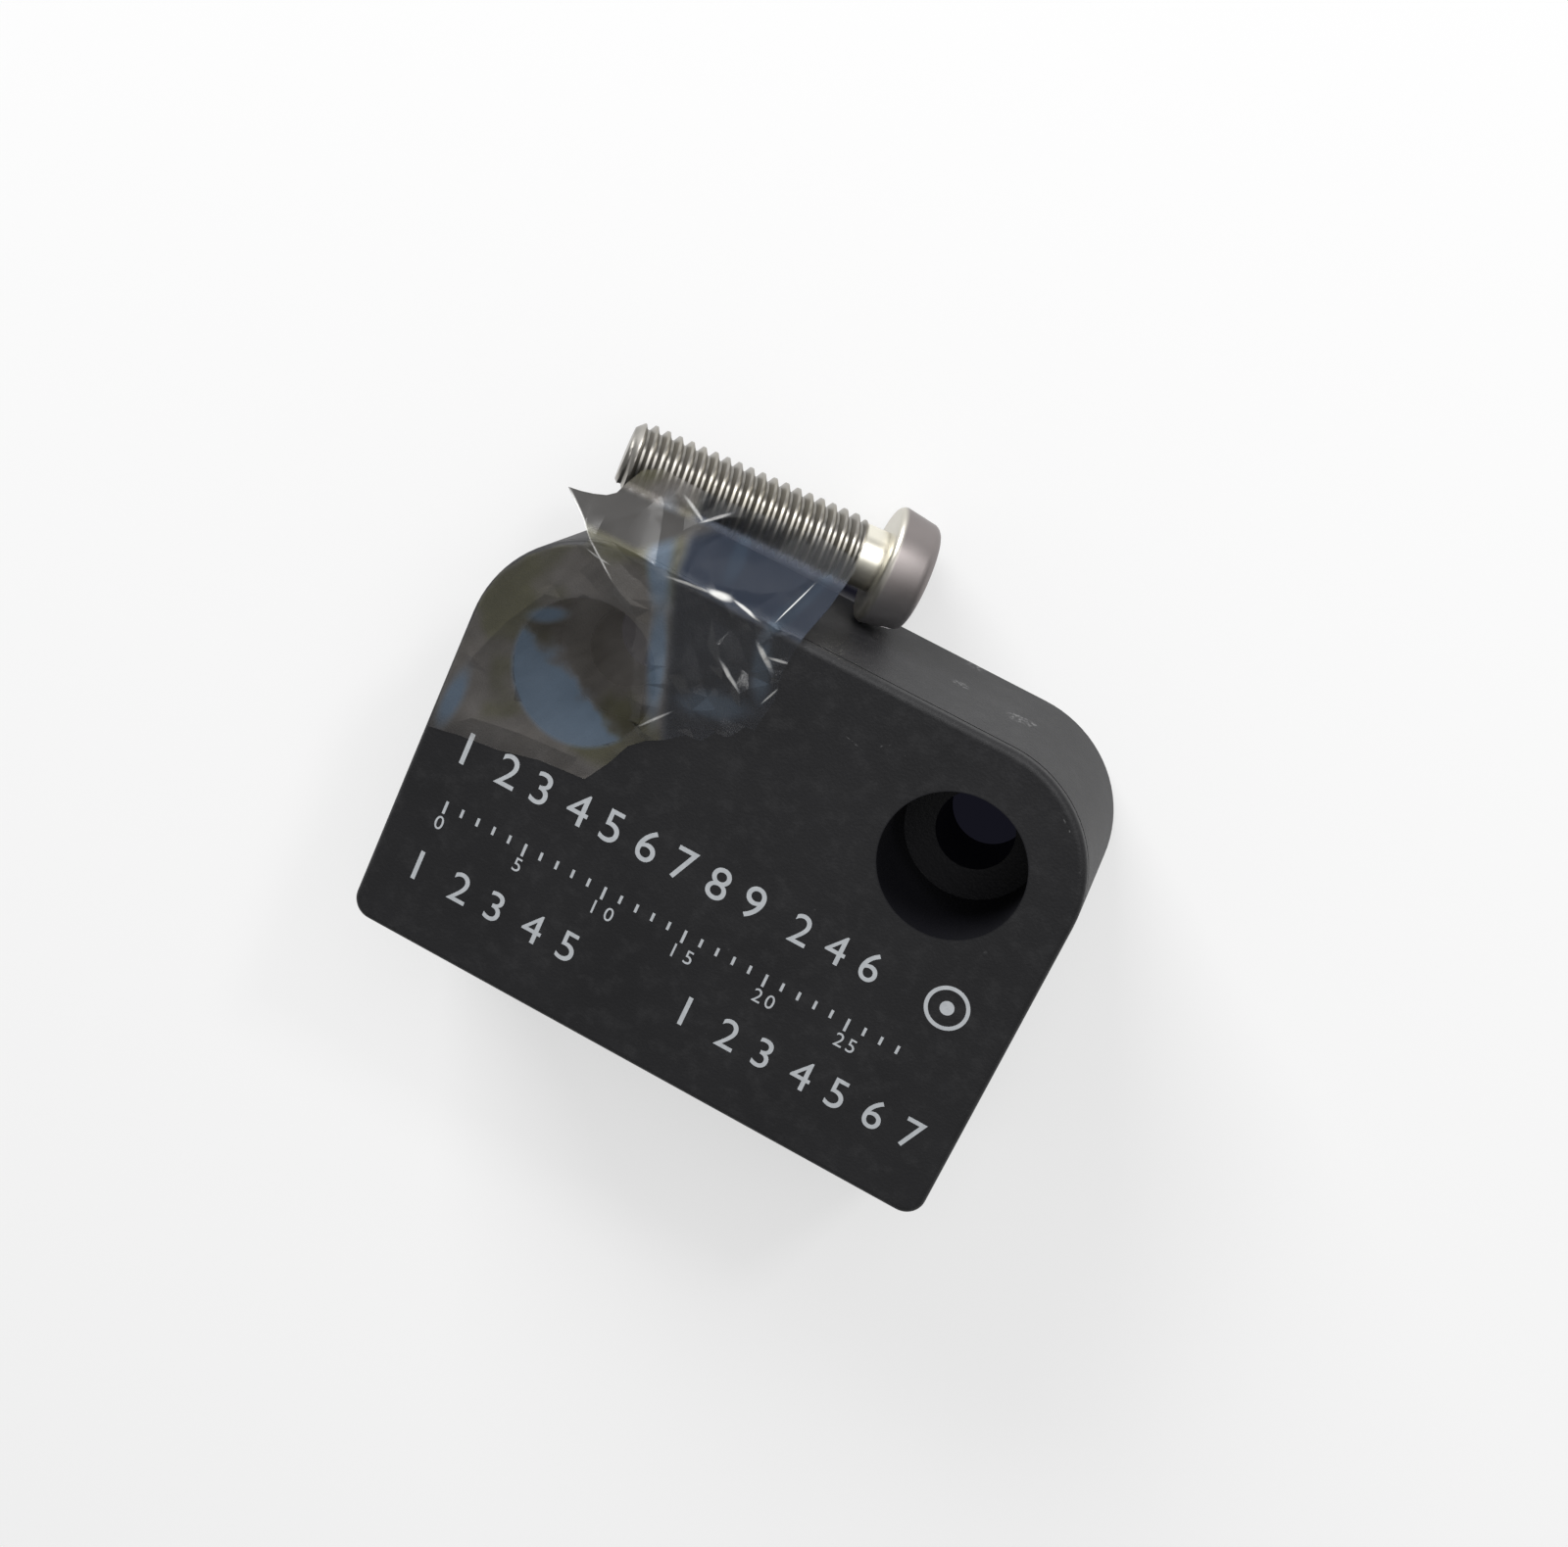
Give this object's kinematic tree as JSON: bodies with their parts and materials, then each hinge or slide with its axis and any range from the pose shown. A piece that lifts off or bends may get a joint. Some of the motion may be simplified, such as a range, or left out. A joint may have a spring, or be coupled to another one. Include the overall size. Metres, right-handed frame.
{
  "type": "magnetic safety sensor actuator",
  "caption": "Compact rectangular magnet actuator for a magnetic safety sensor, with deep screw seats, shown with a loose mounting screw and clear bag film.",
  "frame": {"origin": "midway between the two screw holes, on the flat mounting face", "axes": "+X along the width through both screw holes, +Y towards the side with the holes, +Z out of the printed face"},
  "size_m": [0.036, 0.0329, 0.0133],
  "materials": {
    "housing_plastic": "fine moulded texture, black, slightly grey on the sides",
    "carrier_plastic": "plain moulded, natural",
    "magnet_ferrite": "ground ferrite, dark grey",
    "cast_resin": "cast, smooth, black",
    "screw_steel": "bright zinc plated, slightly warm",
    "clear_film": "clear crumpled polyethylene"
  },
  "bodies": {
    "housing": {"housing_shell": "housing_plastic", "magnet_carrier": "carrier_plastic", "magnet_left": "magnet_ferrite", "magnet_centre": "magnet_ferrite", "magnet_right": "magnet_ferrite", "cast_filling": "cast_resin"},
    "screw": {"mounting_screw": "screw_steel"},
    "film": {"bag_film": "clear_film"}
  },
  "joints": [
    {"name": "film_lift", "type": "slide", "parent": "housing", "child": "film", "axis": [0, 0, 1], "range_m": [0, 0.04]},
    {"name": "screw_pick", "type": "slide", "parent": "housing", "child": "screw", "axis": [0, 1, 0], "range_m": [0, 0.03]}
  ]
}
